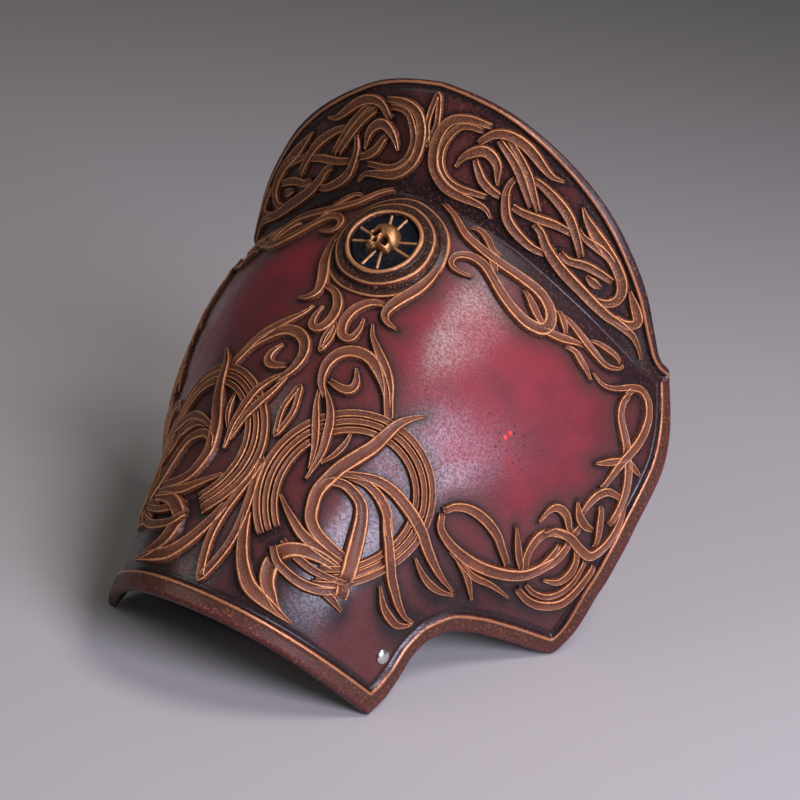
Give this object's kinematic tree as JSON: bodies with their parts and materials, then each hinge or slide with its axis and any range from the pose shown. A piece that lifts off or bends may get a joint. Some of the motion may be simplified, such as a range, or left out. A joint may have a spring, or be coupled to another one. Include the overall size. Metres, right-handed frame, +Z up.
{
  "type": "pauldron",
  "caption": "Moulded leather shoulder guard: half-barrel shell with flared lobes, standing collar, raised strapwork, stepped boss with a small skull, and an arm strap.",
  "frame": {"origin": "on the floor, below the middle of the whole as it stands on its two hem corners and two lobe tips", "axes": "+X across to the wearer's one side, +Y from the arm hem up to the collar along the floor, +Z up"},
  "size_m": [0.2916, 0.2476, 0.2679],
  "materials": {
    "red_leather": "glossy deep maroon, brown-black near the relief",
    "copper_edged_leather": "pink-brown tops with rubbed copper edges",
    "dark_leather": "dark brown, rubbed on its rings",
    "bronze": "worn bronze",
    "black_strap": "matt blue-black",
    "nickel": "satin nickel"
  },
  "bodies": {
    "root": {"shell": "red_leather", "collar_knot_left": "copper_edged_leather", "collar_knot_right": "copper_edged_leather", "collar_leaf": "copper_edged_leather", "collar_scroll_left": "copper_edged_leather", "collar_scroll_right": "copper_edged_leather", "crease_loop_left": "copper_edged_leather", "crease_loop_right": "copper_edged_leather", "crown_leaf": "copper_edged_leather", "drop_loop": "copper_edged_leather", "hook_left": "copper_edged_leather", "hook_right": "copper_edged_leather", "lobe_knot_left": "copper_edged_leather", "lobe_knot_right": "copper_edged_leather", "ring_knot_left": "copper_edged_leather", "ring_knot_right": "copper_edged_leather", "scroll_left": "copper_edged_leather", "scroll_right": "copper_edged_leather", "boss": "dark_leather", "skull_badge": "dark_leather", "skull": "bronze", "arm_strap": "black_strap", "rivet_left": "nickel", "rivet_right": "nickel"}
  },
  "joints": []
}
